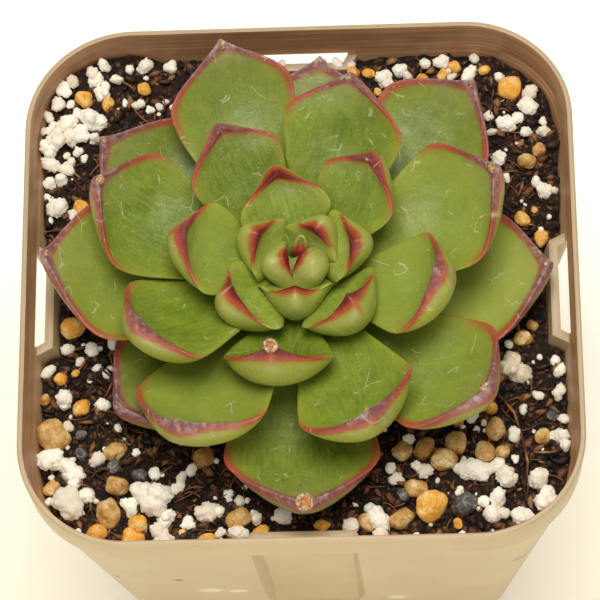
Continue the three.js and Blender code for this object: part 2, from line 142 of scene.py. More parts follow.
GOLDEN_GRIT = [
    (-36, 35.5, 2.9), (-32, 34.5, 2.4), (-26, 37, 2.5), (-36.5, 17, 2.7), (-37.5, -4, 4.3),
    (-37, -12, 1.5), (-39.5, -13, 2.2), (-36, -18, 3.4), (-26.5, -38, 3.2), (-7, -39.5, 2.6),
    (-15.5, -41, 3), (-33, -39.5, 3.6), (-27.5, -40.5, 3.9), (-19.5, -39.5, 1.4), (20.5, 38.5, 2.2),
    (26, 40.5, 2.4), (24, 39, 2), (31, 39.5, 1.9), (35, 36, 4.2), (9, 40, 2.3), (11.5, 39.5, 2),
    (38.5, 14.5, 1.2), (36.5, 13, 2.8), (39.5, 10, 2.7), (13, 36.5, 1.4), (30, -19.5, 2.7),
    (20.5, -36.5, 5.2), (25, -22, 1.5), (24.5, -39, 1.8), (3, -39, 2.4),
]
TAN_PEBBLES = [
    (-40.5, -23, 5.2), (-30.5, -25.5, 3.8), (-16, -27, 3.7), (-30, -31.5, 3.7), (-31.5, -36, 5),
    (-40.5, -31.5, 3), (-10.5, -37.5, 3.9), (-42, -16.5, 2), (37.5, 23, 3.2), (39.5, 25, 2.5),
    (16, -26.5, 3.6), (19.5, -26.5, 3.9), (22.5, -28.5, 4), (24.5, -25.5, 3.9), (29, -27, 3.5),
    (31, -23.5, 3.6), (32, -27, 2.7), (18, -33, 3.3), (15.5, -38, 4), (10, -38.5, 3.3),
    (36, -8, 2.8), (37.5, -5.5, 1.9), (38.5, -24.5, 2.7),
]
GREY_SLATE = [
    (-36, -22.5, 2), (-30.5, -28, 2.5), (-26.5, -29.5, 2.6), (25.5, -36, 4.8), (16, -34, 2.7),
    (40, -21, 2.2), (-36, -25.5, 2.5),
]
PUMICE = [(34.5, -12.5, 5.4)]

# The long root at the right with two side roots, as x, y and height over the soil, and a thickness
LONG_ROOTS = [
    (((31.1, -16.8, 1.0), (32.6, -18.9, 1.6), (34.0, -21, 1.5), (34.9, -23.6, 1.2), (35.5, -27.1, 1.3),
      (35.9, -29.4, 1.5), (35.7, -31.4, 1.2), (35.8, -33.4, 1.4), (35.4, -35.6, 1.0)), 0.3),
    (((34.9, -23.6, 1.2), (36.6, -23.4, 1.4), (38.4, -22.4, 1.0), (40.6, -22.6, 0.7)), 0.16),
    (((32.6, -18.9, 1.6), (34.6, -18.6, 1.7), (36.4, -19.6, 1.0), (37.6, -19.2, 0.8)), 0.14),
]

# The rosette
ROSETTE = (0, 1.5)
FIRST_TURN = 110.5
GOLDEN_TURN = 137.5
OUTERMOST = 29
HEART_LEAVES = 3
FIRST_MIDDLE_LEAF = 10
FIRST_OUTER_LEAF = 20
RISE_FROM = 68
ATTACH_RADIUS = (1.5, 4)
ATTACH_HEIGHT = (78, 70.5)
LEAF_THICKNESS = (4.2, 4.8)
BASE_SHARE = 0.32
END_LENGTH = 0.54
END_FULLNESS = 0.3
END_ROUNDING = (0.6, 1)
POINT_LENGTH = (0.1, 0.7)
POINT_SHARE = 0.05
BLADE_OVER_CHORD = 1.06
LIFT_OVER = 0.45
EDGE_POWER = 2.2
BELLY_OVER = 0.5
BASE_THICKNESS = 0.55
BELLY_POWER = 2.4
BELLY_ROUND = 0.62
RIM_DROP = (1.6, 0.5)
RIM_SPAN = (3.6, 1.0)
RIM_AT_TIP = (0.85, 0.5)
RIM_AGED, TIP_AGED, ROUNDING_AGED = 0.6, 0.4, 0.35
RIM_FULL_FROM, RIM_FULL_OVER = 1.5, 4
UNEVEN = ((0.28, 8, 3.7), (0.09, 2.6, 1))
UNEVEN_OVER = 0.3
TIP_THINNING = 7
STATION_CROWDING = 1.35
STATIONS = 40
AROUND = 36

BUD_CENTRE = (-0.9, 1, 77.4)
BUD_RADIUS = (1.7, 2.7, 3.4)
BUD_APART = 1.2
BUD_NARROWING = 0.25

# How far a leaf's tints reach from its rim or its tip, young, and how much further on the oldest
BLUSH_WIDTH = (0.85, 0.9)
BLUSH_WIDTH_UNDER = (1.3, 0.8)
BLUSH_REACH = (3, 22)
CORE_REACH = (1.9, 3)
CORE_WIDTH, CORE_WIDTH_UNDER = 1.2, 1.7
CORE_STRENGTH = (1, -0.5)
WARM_WIDTH = (2, 3)
DUSK_REACH = (3, 5)
DUSK_WIDTH = 2.4
BLOOM_REACH = (3, 6)
TIP_FLARE = 3.2
KEEL_WIDTH, KEEL_REACH, KEEL_STRENGTH = 0.9, 2.2, 0.4

# The scale of a leaf's flat map, and the steps that set each leaf's apart
MAP_SIZE = 100
MAP_STEPS = (0.37, 0.61)

# Each leaf in turn, the innermost first: turn off the spiral, reach and rise of the tip, width, the
# slope it leaves the stem with, the slope of its tip, lift of its edges, roll, sideways bow, and how far
# each end's slope pulls on the curve.
LEAVES = [
    (-30, 0.6, 11.4, 4, 60, 110, 0.3, 0, 0, 0.4, 0.4),
    (-3, -0.4, 14.0, 10, 55, 125, 0.45, 0, 0, 0.5, 0.4),
    (-4, 1.0, 14.4, 10.5, 65, 115, 0.45, 0, 0, 0.5, 0.4),
    (-6, 4.0, 15.6, 12, 45, 128, 0.35, 0, 0, 0.55, 0.4),
    (-15, 5.2, 15.2, 13.5, 30, 135, 0.45, 6, 0, 0.6, 0.45),
    (12, 6.0, 16.6, 11.5, 40, 122, 0.4, 0, 0, 0.6, 0.4),
    (0, 8.2, 17.2, 12.5, 42, 112, 0.35, 0, 1.5, 0.6, 0.35),
    (-18, 11.5, 16.8, 14, 25, 115, 0.4, 0, 2, 0.56, 0.4),
    (13, 12, 18.8, 15, 50, 100, 0.38, 0, 0, 0.45, 0.32),
    (-1, 11.5, 18.6, 15, 20, 120, 0.35, 0, 0, 0.6, 0.4),
    (-3, 17.2, 20.6, 16, 35, 105, 0.32, 0, 0.7, 0.45, 0.35),
    (12, 17.6, 21, 14.5, 42, 95, 0.34, 0, -1, 0.42, 0.32),
    (-3, 18, 21.2, 18, 12, 105, 0.1, 10, 0.5, 0.6, 0.45),
    (-2, 22.3, 21.8, 16.5, 38, 85, 0.32, 0, 0.7, 0.42, 0.3),
    (-1, 22.2, 22, 18, 25, 105, 0.26, 0, -0.7, 0.5, 0.38),
    (0, 27.4, 21.2, 19, 22, 95, 0.22, 14, 0, 0.46, 0.35),
    (2, 29.2, 21.8, 20, 30, 72, 0.28, 0, -1, 0.4, 0.3),
    (-2, 30.6, 20.6, 20, 20, 90, 0.22, 9, 0, 0.48, 0.38),
    (4, 33.3, 20.6, 21, 22, 75, 0.28, 0, 1.5, 0.42, 0.32),
    (3, 33.6, 20.2, 22, 20, 75, 0.28, 0, -1.5, 0.4, 0.32),
    (-3, 34.5, 18.6, 23, 12, 80, 0.2, 20, 0, 0.46, 0.35),
    (5, 38.6, 17.8, 21, 16, 55, 0.25, 0, 1.5, 0.4, 0.3),
    (-5, 37.8, 17, 22, 10, 72, 0.22, 0, -0.5, 0.45, 0.32),
    (-10, 40.5, 15.5, 25, 8, 50, 0.22, 0, 1, 0.4, 0.3),
    (-4, 41.5, 14, 22, 8, 45, 0.24, 0, 0, 0.4, 0.3),
    (-2, 40.5, 12, 25, 3, 60, 0.2, 0, -0.5, 0.45, 0.35),
    (9, 39, 12, 23, 2, 45, 0.22, 0, -1, 0.4, 0.3),
    (2, 40, 9.2, 24, -3, 45, 0.22, 0, -1, 0.4, 0.3),
    (-3, 36.5, 8, 22, -5, 50, 0.22, 0, 0, 0.4, 0.3),
    (2, 40, 4.5, 24, -8, 25, 0.2, 0, 0, 0.4, 0.3),
]

# Leaves tinted paler than the rest, or deeper where below zero
LEAF_TONES = {
    0: 0.8, 1: 0.8, 2: 0.8, 3: 0.8, 4: 0.7, 5: 0.7, 6: 0.9, 8: -0.6, 10: 0.6, 11: -0.6, 12: -1.2, 13: -1.6,
    14: 0.8, 16: -0.4, 18: -0.5, 19: 0.7, 20: 0.8, 21: 0.2, 22: 0.5, 23: 0.6, 24: 0.2, 27: 1.6,
}

# The withered ends of leaves, by size. A ring is turned upward and raised, and has a darker core in it.
RING_UPTURN = (0, -0.4, 1.6)
RING_RAISED = 0.55
RING_RADII = (0.33, 0.17)
RING_CORE, RING_CORE_HEIGHT = 0.34, 0.7
POINT_CORE, POINT_CORE_HEIGHT = 0.42, 1.3
TIP_SHARE = 0.985
TIP_CRUMPLE, TIP_CRUMPLE_SIZE = 0.07, 0.8
RINGS = {12: 2.5, 25: 3}
POINTS = {
    11: 1.0, 14: 0.8, 15: 1.1, 16: 1.3, 17: 1.4, 18: 2.1, 19: 2.1, 20: 1.6, 21: 1.9, 22: 2.3, 23: 1.5,
    24: 1.2, 26: 1.2, 27: 1.3, 28: 1.1, 29: 1.2,
}

# The camera of the photo, and the light and the floor, whose sizes are in metres
CAMERA_DISTANCE = 506.8 * MM
CAMERA_ELEVATION = 67.6
CAMERA_YAW = 6.6
CAMERA_ROLL = -7.6
CAMERA_TARGET = (0.14, -4.3, 78)
CAMERA_LENS = 189.6
CAMERA_SENSOR = 36
LIT_POINT = (0, 0, 0.07)
LAMP_SIZE = 0.5
WARM_WHITE = (1, 0.97, 0.92)
FLOOR_SIZE = 6


# Modelling helpers
def deselect():
    if bpy.context.mode != "OBJECT":
        bpy.ops.object.mode_set(mode="OBJECT")
    bpy.ops.object.select_all(action="DESELECT")


def pick(*objects):
    """Selects these objects alone, the last of them active"""
    deselect()
    for obj in objects:
        obj.select_set(True)
    bpy.context.view_layer.objects.active = objects[-1]


def added(primitive, **sizes):
    """The object that a primitive's operator adds, with everything else deselected"""
    deselect()
    primitive(**sizes)
    return bpy.context.active_object


def settle(obj):
    """Puts the object at the origin with its place in its mesh"""
    pick(obj)
    bpy.ops.object.transform_apply(location=True, rotation=True, scale=True)


def apply(obj, kind, **settings):
    pick(obj)
    bpy.ops.object.modifier_add(type=kind)
    modifier = obj.modifiers[-1]
    for name, value in settings.items():
        setattr(modifier, name, value)
    bpy.ops.object.modifier_apply(modifier=modifier.name)


def cut(obj, tool, operation="DIFFERENCE", solver="EXACT"):
    apply(obj, "BOOLEAN", object=tool, operation=operation, solver=solver)
    bpy.data.objects.remove(tool)


def joined(*parts):
    pick(*parts)
    bpy.ops.object.join()
    return bpy.context.active_object


def face_outward():
    """Turns the faces of the object being edited outward, and leaves edit mode"""
    bpy.ops.mesh.select_all(action="SELECT")
    bpy.ops.mesh.normals_make_consistent(inside=False)
    bpy.ops.object.mode_set(mode="OBJECT")


def mark(obj, name, values):
    """Writes a value for each vertex, for a material to read"""
    shares = np.asarray(values, dtype=np.float32)
    obj.data.attributes.new(name, "FLOAT", "POINT").data.foreach_set("value", shares)


def dress(obj, name, material, slot, *nodes):
    """Names a finished piece, gives it its material, and ties it to the frame"""
    obj.name = name
    obj.data.name = name
    obj.data.materials.clear()
    obj.data.materials.append(material)
    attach(obj, "root")
    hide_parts(*nodes)


def smooth_step(x):
    t = np.clip(x, 0, 1)
    return t * t * (3 - 2 * t)


def at_age(pair, age):
    """A measure given as that of the youngest leaf, and how much more it is on the oldest"""
    return pair[0] + pair[1] * age


# Material helpers
def linear(tint):
    """A colour written as #rrggbb, as Blender's linear red, green, blue and alpha"""
    parts = [int(tint[i:i + 2], 16) / 255 for i in (1, 3, 5)]
    return [c / 12.92 if c <= 0.04045 else ((c + 0.055) / 1.055) ** 2.4 for c in parts] + [1]


class Finish:
    """One material, with its nodes made by short calls"""

    def __init__(self, name, roughness, specular=0.5):
        self.material = bpy.data.materials.new(name)
        self.material.use_nodes = True
        self.tree = self.material.node_tree
        self.shader = self.tree.nodes["Principled BSDF"]
        self.shader.inputs["Roughness"].default_value = roughness
        self.shader.inputs["Specular IOR Level"].default_value = specular

    def node(self, kind, inputs=(), **settings):
        made = self.tree.nodes.new(kind)
        for name, value in settings.items():
            setattr(made, name, value)
        for key, value in dict(inputs).items():
            self.feed(made.inputs[key], value)
        return made

    def feed(self, socket, value):
        if isinstance(value, bpy.types.NodeSocket):
            self.tree.links.new(value, socket)
        else:
            socket.default_value = linear(value) if isinstance(value, str) else value

    def place(self, stretch=(1, 1, 1)):
        """Object coordinates, in millimetres, stretched along each axis"""
        coordinates = self.node("ShaderNodeTexCoord").outputs["Object"]
        scale = [s / MM for s in stretch]
        return self.node("ShaderNodeMapping", {"Vector": coordinates, "Scale": scale}).outputs[0]

    def value(self, attribute):
        return self.node("ShaderNodeAttribute", attribute_name=attribute).outputs["Fac"]

    def clouds(self, place, size, detail=3, rough=0.55):
        """Soft noise from 0 to 1, with features about as large as size in millimetres"""
        inputs = {"Vector": place, "Scale": 1 / size, "Detail": detail, "Roughness": rough}
        return self.node("ShaderNodeTexNoise", inputs).outputs["Fac"]

    def cells(self, place, size, feature="F1"):
        inputs = {"Vector": place, "Scale": 1 / size}
        return self.node("ShaderNodeTexVoronoi", inputs, feature=feature).outputs["Distance"]

    def ramp(self, factor, *stops):
        """Blends tints or grey values along a factor"""
        made = self.node("ShaderNodeValToRGB", {"Fac": factor})
        elements = made.color_ramp.elements
        while len(elements) < len(stops):
            elements.new(0.5)
        for element, (position, tint) in zip(elements, stops):
            element.position = position
            element.color = linear(tint) if isinstance(tint, str) else (tint, tint, tint, 1)
        return made.outputs["Color"]

    def math(self, operation, first, second=0.0, clamp=False):
        return self.node("ShaderNodeMath", {0: first, 1: second}, operation=operation,
                         use_clamp=clamp).outputs[0]

    def times(self, first, second):
        return self.math("MULTIPLY", first, second)

    def mix(self, factor, first, second, blend="MIX"):
        made = self.node("ShaderNodeMix", data_type="RGBA", blend_type=blend)
        self.feed(made.inputs[0], factor)
        self.feed(made.inputs[6], first)
        self.feed(made.inputs[7], second)
        return made.outputs[2]

    def glow(self, weight, radii):
        """Lets light soak in, as far as these millimetres of red, green and blue"""
        self.shader.inputs["Subsurface Weight"].default_value = weight
        self.shader.inputs["Subsurface Radius"].default_value = [r * MM for r in radii]
        self.shader.inputs["Subsurface Scale"].default_value = 1.0

    def relief(self, height, depth, below=None):
        """A bump of this depth in millimetres"""
        inputs = {"Height": height, "Distance": depth * MM, "Strength": 1.0}
        if below is not None:
            inputs["Normal"] = below
        return self.node("ShaderNodeBump", inputs).outputs["Normal"]

    def finish(self, colour, normal=None, roughness=None):
        self.feed(self.shader.inputs["Base Color"], colour)
        if normal is not None:
            self.feed(self.shader.inputs["Normal"], normal)
        if roughness is not None:
            self.feed(self.shader.inputs["Roughness"], roughness)
        return self.material


# Materials
def pot_plastic():
    """Thin tan plastic, painted a darker brown on the inner walls for the shade inside the pot, with faint
    level lines from the mould
    """
    f = Finish("pot_plastic", 0.42)
    place = f.place()
    lines = f.clouds(f.place((0.02, 0.02, 1)), 0.5, detail=4, rough=0.7)
    clean = f.ramp(f.clouds(place, 14), (0.3, "#b49f79"), (0.7, "#beaa84"))
    height = f.node("ShaderNodeSeparateXYZ", {0: place}).outputs["Z"]
    depth = f.math("SUBTRACT", POT_HEIGHT / MM, height)
    below_lip = f.ramp(f.math("DIVIDE", depth, 10), (0.0, 0.8), (0.05, 1.0))
    brown = f.ramp(lines, (0.35, "#96704f"), (0.65, "#c39a74"))
    # Painted shade: the inner walls take a darker brown, a little less at the very top of the lip
    walls_with_painted_shade = f.mix(f.times(f.value("inside"), below_lip), clean, brown)
    scuffs = f.ramp(f.clouds(f.place((1, 1, 3)), 2.2, detail=5), (0.67, 0.0), (0.75, 0.4))
    worn = f.mix(scuffs, walls_with_painted_shade, "#cfc2a6")
    specks = f.ramp(f.clouds(place, 0.8, detail=2), (0.77, 0.0), (0.8, 0.7))
    dirty = f.mix(specks, worn, "#4a3524")
    raggedness = 0.8
    wander = f.node("ShaderNodeTexNoise", {"Vector": place, "Scale": 1.2}).outputs["Color"]
    ragged = f.mix(raggedness, place, wander, "ADD")
    for spot, size, tint in POT_MARKS:
        middle = [c + raggedness / 2 for c in spot]
        away = f.node("ShaderNodeVectorMath", {0: ragged, 1: middle}, operation="DISTANCE")
        near = f.ramp(f.math("DIVIDE", away.outputs["Value"], size), (0.45, 0.85), (0.8, 0.0))
        dirty = f.mix(near, dirty, tint)
    f.glow(0.2, (3, 2.2, 1.4))
    return f.finish(dirty, f.relief(lines, 0.03))


def peat():
    f = Finish("peat", 0.85, 0.35)
    place = f.place()
    grains = f.node("ShaderNodeTexVoronoi", {"Vector": place, "Scale": 1 / 0.8})
    tone = f.node("ShaderNodeSeparateXYZ", {0: grains.outputs["Color"]}).outputs["X"]
    colour = f.ramp(tone, (0.0, "#1a110b"), (0.5, "#352215"), (0.75, "#5a3922"), (0.95, "#875a38"))
    # Painted shade: the gaps between the grains are darkened nearly to black
    crevice_shade = f.ramp(grains.outputs["Distance"], (0.25, 0.0), (0.6, 0.85))
    shaded = f.mix(crevice_shade, colour, "#080605")
    patch = f.ramp(f.clouds(place, 5, detail=4), (0.45, 0.0), (0.7, 0.5))
    patched = f.mix(patch, shaded, "#3a2416")
    lumpy = f.relief(f.math("SUBTRACT", 1, grains.outputs["Distance"]), 0.35)
    return f.finish(patched, f.relief(f.clouds(place, 0.3, detail=4), 0.2, lumpy))


def chips():
    f = Finish("peat_chips", 0.6, 0.45)
    grain = f.clouds(f.place(), 0.5, detail=4)
    colour = f.ramp(f.value("tone"), (0.0, "#140e0a"), (0.35, "#291a10"), (0.6, "#50311d"),
                    (0.85, "#825232"), (1.0, "#ab7c4e"))
    shaded = f.mix(f.ramp(grain, (0.35, 0.0), (0.7, 0.5)), colour, "#0c0806")
    return f.finish(shaded, f.relief(grain, 0.12))


def fibres():
    f = Finish("root_fibre", 0.6, 0.4)
    tone = f.clouds(f.place(), 3, detail=2)
    return f.finish(f.ramp(tone, (0.35, "#462815"), (0.5, "#7a4a2a"), (0.62, "#a06c40"), (0.72, "#c49a68")))


def perlite():
    f = Finish("perlite", 0.85, 0.35)
    place = f.place()
    soft = f.clouds(place, 1.2, detail=5, rough=0.65)
    white = f.ramp(soft, (0.3, "#e6dac0"), (0.5, "#f8f3e2"), (0.7, "#fefcf4"))
    pits = f.ramp(f.clouds(place, 0.4, detail=3), (0.66, 0.0), (0.74, 0.75))
    pitted = f.mix(pits, white, "#8d7a5f")
    dusty = f.mix(f.ramp(f.value("tone"), (0.5, 0.0), (1.0, 0.45)), pitted, "#c2ab86")
    f.glow(0.1, (1, 1, 0.8))
    # Painted light: the perlite glows faintly of its own, warm white, to look brighter
    f.shader.inputs["Emission Color"].default_value = (1, 0.95, 0.82, 1)
    f.shader.inputs["Emission Strength"].default_value = 0.1
    return f.finish(dusty, f.relief(f.clouds(place, 0.3, detail=4), 0.12))


def pebble(name, dark, middle, light, stain):
    f = Finish(name, 0.62, 0.45)
    place = f.place()
    body = f.clouds(place, 1.8, detail=5, rough=0.6)
    colour = f.ramp(body, (0.32, dark), (0.5, middle), (0.68, light))
    toned = f.mix(f.ramp(f.value("tone"), (0.0, 0.0), (1.0, 0.45)), colour, dark)
    veins = f.ramp(f.cells(place, 1.3, "DISTANCE_TO_EDGE"), (0.0, 0.6), (0.07, 0.0))
    broken = f.times(veins, f.ramp(f.clouds(place, 1.1), (0.45, 0.0), (0.6, 1.0)))
    stained = f.mix(broken, toned, stain)
    return f.finish(stained, f.relief(f.clouds(place, 0.4, detail=4), 0.1))


def leaf_skin(name, deep, bright, pale, red, crimson, roughness):
    """Waxy green skin that turns yellow-green, then red, toward the rim and the tip"""
    f = Finish(name, roughness, 0.42)
    place = f.place()
    fine = f.clouds(place, 0.35, detail=4, rough=0.75)
    flat = f.node("ShaderNodeTexCoord").outputs["UV"]
    drawn_out = f.node("ShaderNodeMapping", {"Vector": flat, "Scale": (180, 30, 1)}).outputs[0]
    grain = f.node("ShaderNodeTexNoise", {"Vector": drawn_out, "Scale": 1.0, "Detail": 4.0}).outputs["Fac"]
    green = f.ramp(f.clouds(place, 4, detail=5), (0.35, deep), (0.65, bright))
    lightened = f.mix(f.times(f.value("pale"), 0.5), green, "#b2bb58")
    deepened = f.mix(f.times(f.value("deep"), 0.42), lightened, "#43600c")
    grained = f.mix(f.ramp(grain, (0.35, 0.0), (0.65, 0.35)), deepened, pale)
    speckled = f.mix(f.ramp(fine, (0.5, 0.0), (0.72, 0.6)), grained, pale)
    warmed = f.mix(f.times(f.value("warm"), 0.6), speckled, "#9ba138")
    under = f.mix(f.times(f.value("under"), 0.6), warmed, "#a6aa42")
    hazy = f.ramp(f.clouds(place, 1.6, detail=4), (0.3, 0.15), (0.75, 0.8))
    bloom = f.times(f.value("bloom"), hazy)
    waxed = f.mix(bloom, under, "#a8a664")
    uneven = f.times(f.math("SUBTRACT", f.clouds(place, 1.2, detail=4), 0.5), 0.5)
    blush = f.math("ADD", f.value("blush"), f.times(uneven, f.value("blush")), clamp=True)
    tint = f.ramp(blush, (0.08, "#94903a"), (0.25, "#a4602e"), (0.5, red), (0.85, crimson))
    rimmed = f.mix(f.ramp(blush, (0.05, 0.0), (0.35, 0.95)), waxed, tint)
    core = f.math("ADD", f.value("core"), f.times(uneven, f.value("core")), clamp=True)
    reddened = f.mix(f.ramp(core, (0.1, 0.0), (0.8, 0.9)), rimmed, crimson)
    dusty = f.ramp(f.clouds(place, 1.4, detail=4), (0.3, 0.45), (0.7, 1.0))
    dusk = f.times(f.value("dusk"), dusty)
    greyed = f.mix(dusk, reddened, "#8a666a")
    # Pale patches on the dusky tips: partly wax bloom, partly painted sheen
    frost_and_sheen_patches = f.ramp(f.clouds(place, 1.1, detail=5), (0.46, 0.0), (0.66, 0.75))
    frost_and_sheen = f.times(f.value("dusk"), frost_and_sheen_patches)
    frosted_and_sheened = f.mix(frost_and_sheen, greyed, "#c8b3a8")
    scratched = f.mix(f.times(scratches(f), f.value("grown")), frosted_and_sheened, "#cdd0a6")
    in_patches = f.ramp(f.clouds(place, 4), (0.48, 0.0), (0.6, 1.0))
    flecks = f.times(f.ramp(f.cells(place, 0.8), (0.08, 0.7), (0.16, 0.0)), in_patches)
    flecked = f.mix(flecks, scratched, "#cfd2ac")
    f.glow(0.15, (1.6, 2.0, 0.6))
    waxy = f.ramp(f.clouds(place, 2.5, detail=4), (0.3, roughness - 0.08), (0.7, roughness + 0.1))
    return f.finish(flecked, f.relief(fine, 0.05, f.relief(f.clouds(place, 2.5, detail=2), 0.15)), waxy)


def scratches(f):
    """Thin crooked lines, in patches, laid on the blade's own flat map"""
    flat = f.node("ShaderNodeTexCoord").outputs["UV"]
    crooked = f.node("ShaderNodeTexNoise", {"Vector": flat, "Scale": 60.0, "Detail": 2.0}).outputs["Color"]
    bent = f.mix(0.01, flat, crooked, "ADD")
    cells = f.node("ShaderNodeTexVoronoi", {"Vector": bent, "Scale": 16.0}, feature="DISTANCE_TO_EDGE")
    lines = f.ramp(cells.outputs["Distance"], (0.0, 0.75), (0.017, 0.0))
    spread = f.node("ShaderNodeTexNoise", {"Vector": flat, "Scale": 26.0, "Detail": 1.0}).outputs["Fac"]
    return f.times(lines, f.ramp(spread, (0.58, 0.0), (0.64, 1.0)))


def dried():
    f = Finish("dried_point", 0.75, 0.35)
    mottled = f.clouds(f.place(), 0.5, detail=4)
    husk = f.ramp(mottled, (0.35, "#7c5a3c"), (0.5, "#b8946c"), (0.65, "#e4cdaa"))
    core = f.ramp(mottled, (0.35, "#9a5a2c"), (0.6, "#cc8a52"))
    return f.finish(f.mix(f.value("core"), husk, core), f.relief(f.clouds(f.place(), 0.25), 0.08))


def table_top():
    f = Finish("pale_floor", 0.6, 0.3)
    f.shader.inputs["Emission Color"].default_value = (1, 0.98, 0.88, 1)
    f.shader.inputs["Emission Strength"].default_value = 0.22
    depth = f.node("ShaderNodeSeparateXYZ", {0: f.place((0.01, 0.01, 0.01))}).outputs["Y"]
    return f.finish(f.ramp(f.math("ADD", depth, 0.5), (0.1, "#f9f2da"), (1.0, "#fbfaf4")))


# The pot
def outline(half, corner, z):
    """Adds a rounded square outline to the mesh being edited"""
    bpy.ops.mesh.primitive_plane_add(size=2 * half, location=(0, 0, z))
    bpy.ops.mesh.bevel(offset=corner, segments=CORNER_STEPS, affect="VERTICES")
    bpy.ops.mesh.delete(type="ONLY_FACE")


def select_outlines(obj, levels):
    """Selects the edges that lie on these outlines, found by their height and half width"""
    bpy.ops.mesh.select_all(action="DESELECT")
    mesh = bmesh.from_edit_mesh(obj.data)
    near = 0.002 * MM
    for vertex in mesh.verts:
        reach = max(abs(vertex.co.x), abs(vertex.co.y))
        for half, corner, z in levels:
            inner = half - corner
            dx, dy = max(abs(vertex.co.x) - inner, 0), max(abs(vertex.co.y) - inner, 0)
            on_it = abs(math.hypot(dx, dy) - corner) < 20 * near and abs(reach - half) < corner
            if abs(vertex.co.z - z) < near and on_it:
                vertex.select = True
    mesh.select_flush_mode()
    bmesh.update_edit_mesh(obj.data)


def shell(name, levels):
    """A closed solid through rounded square outlines, one above or inside the next"""
    obj = added(bpy.ops.mesh.primitive_plane_add, size=1)
    obj.name = name
    bpy.ops.object.mode_set(mode="EDIT")
    bpy.ops.mesh.delete(type="VERT")
    bpy.ops.mesh.select_mode(type="VERT")
    for half, corner, z in levels:
        outline(half, corner, z)
    for pair in zip(levels, levels[1:]):
        select_outlines(obj, pair)
        bpy.ops.mesh.bridge_edge_loops()
    for end in (levels[0], levels[-1]):
        select_outlines(obj, [end])
        bpy.ops.mesh.edge_face_add()
    face_outward()
    return obj


def wall_half(z):
    return FOOT_HALF + (RIM_HALF - BAND_DRAFT - BAND_STEP - FOOT_HALF) * (z / BAND_FOOT)


def band_half(z):
    return RIM_HALF - BAND_DRAFT * (POT_HEIGHT - z) / (POT_HEIGHT - BAND_FOOT)


def corner_at(z):
    return FOOT_CORNER + (RIM_CORNER - FOOT_CORNER) * z / POT_HEIGHT


def level(z, half_at, inset):
    return (half_at(z) - inset, corner_at(z) - inset, z)


def pot_inside(inset):
    return shell("pot_inside", [
        level(FLOOR_TOP + inset - WALL, wall_half, inset), level(BAND_FOOT - BAND_STEP, wall_half, inset),
        level(BAND_FOOT + BAND_STEP, band_half, inset), level(POT_HEIGHT + 1 * MM, band_half, inset),
    ])


def wedge(half_far, half_near, farther, nearer, foot, top, turn):
    """A block along one side of the pot that runs out to nothing at its foot"""
    obj = added(bpy.ops.mesh.primitive_cube_add, size=1)
    bpy.ops.object.mode_set(mode="EDIT")
    bpy.ops.mesh.select_all(action="SELECT")
    bpy.ops.mesh.bisect(plane_co=(0, 0, 0), plane_no=(0, 0, 1))
    bpy.ops.object.mode_set(mode="OBJECT")
    levels = [(foot, POCKET_RUN_OUT), (foot + POCKET_SLOPE, 1), (top, 1)]
    for vertex in obj.data.vertices:
        z, share = levels[int(round(vertex.co.z * 2)) + 1]
        far = vertex.co.x > 0
        side = half_far if far else half_near
        x = wall_half(z) + farther if far else wall_half(z) - nearer * share
        vertex.co = (x, math.copysign(side, vertex.co.y), z)
    obj.rotation_euler = (0, 0, turn)
    settle(obj)
    return obj


def on_each_side(*sizes):
    return joined(*[wedge(*sizes, turn * math.pi / 2) for turn in range(4)])


def pocket_panels(extra):
    side = PANEL_SIDE + extra
    return on_each_side(POCKET_HALF_OUTSIDE + side, POCKET_HALF_INSIDE + side, -PANEL_INSET,
                        POCKET_DEPTH + PANEL_THICKNESS + extra, POCKET_FOOT - PANEL_THICKNESS - extra,
                        PANEL_TOP + extra)


def drain_holes():
    places = [(0, 0)] + [(sx * DRAIN_SPREAD, sy * DRAIN_SPREAD) for sx in (-1, 1) for sy in (-1, 1)]
    holes = [added(bpy.ops.mesh.primitive_cylinder_add, vertices=DRAIN_STEPS, radius=DRAIN_RADIUS,
                   depth=3 * MM, location=(x, y, (FOOT_DEPTH + FLOOR_TOP) / 2)) for x, y in places]
    for hole in holes:
        settle(hole)
    return joined(*holes)


def make_pot(material):
    pot = shell("pot", [
        level(0, wall_half, 0), level(BAND_FOOT, wall_half, 0), level(BAND_FOOT + BAND_EASE, band_half, 0),
        level(POT_HEIGHT - LIP_ROUND, band_half, 0), level(POT_HEIGHT, band_half, LIP_ROUND),
    ])
    cut(pot, pot_inside(WALL))
    cut(pot, shell("under_foot", [level(z, wall_half, FOOT_WIDTH) for z in (-1 * MM, FOOT_DEPTH)]))
    cut(pot, drain_holes())
    cut(pot, pocket_panels(0), "UNION")
    cut(pot, on_each_side(POCKET_HALF_OUTSIDE + POCKET_FLARE, POCKET_HALF_INSIDE, POCKET_BEYOND, POCKET_DEPTH,
                          POCKET_FOOT, BAND_FOOT))
    apply(pot, "BEVEL", width=EDGE_ROUND, segments=2, limit_method="ANGLE", angle_limit=math.radians(40))
    pick(pot)
    bpy.ops.object.shade_smooth_by_angle(angle=math.radians(35))
    # Painted shade: the inside attribute says how far each vertex is darkened to brown
    mark(pot, "inside", inner_shade_share(pot.data.vertices))
    dress(pot, "nursery_pot", material, "pot_plastic", "pot")


def inner_shade_share(vertices):
    """How far the plastic is painted a shaded brown: fully on the inner wall, a little on the pockets'
    panels, and not outside
    """
    outward = np.array([v.normal.x * v.co.x + v.normal.y * v.co.y for v in vertices])
    place = np.abs(np.array([v.co for v in vertices]))
    by_panel = place[:, :2].min(1) < POCKET_HALF_OUTSIDE + PANEL_THICKNESS
    on_panel = by_panel & (place[:, 2] < PANEL_TOP + BAND_STEP)
    return np.where(outward < -0.05 * FOOT_HALF, np.where(on_panel, PANEL_SHADE_SHARE, 1), 0)


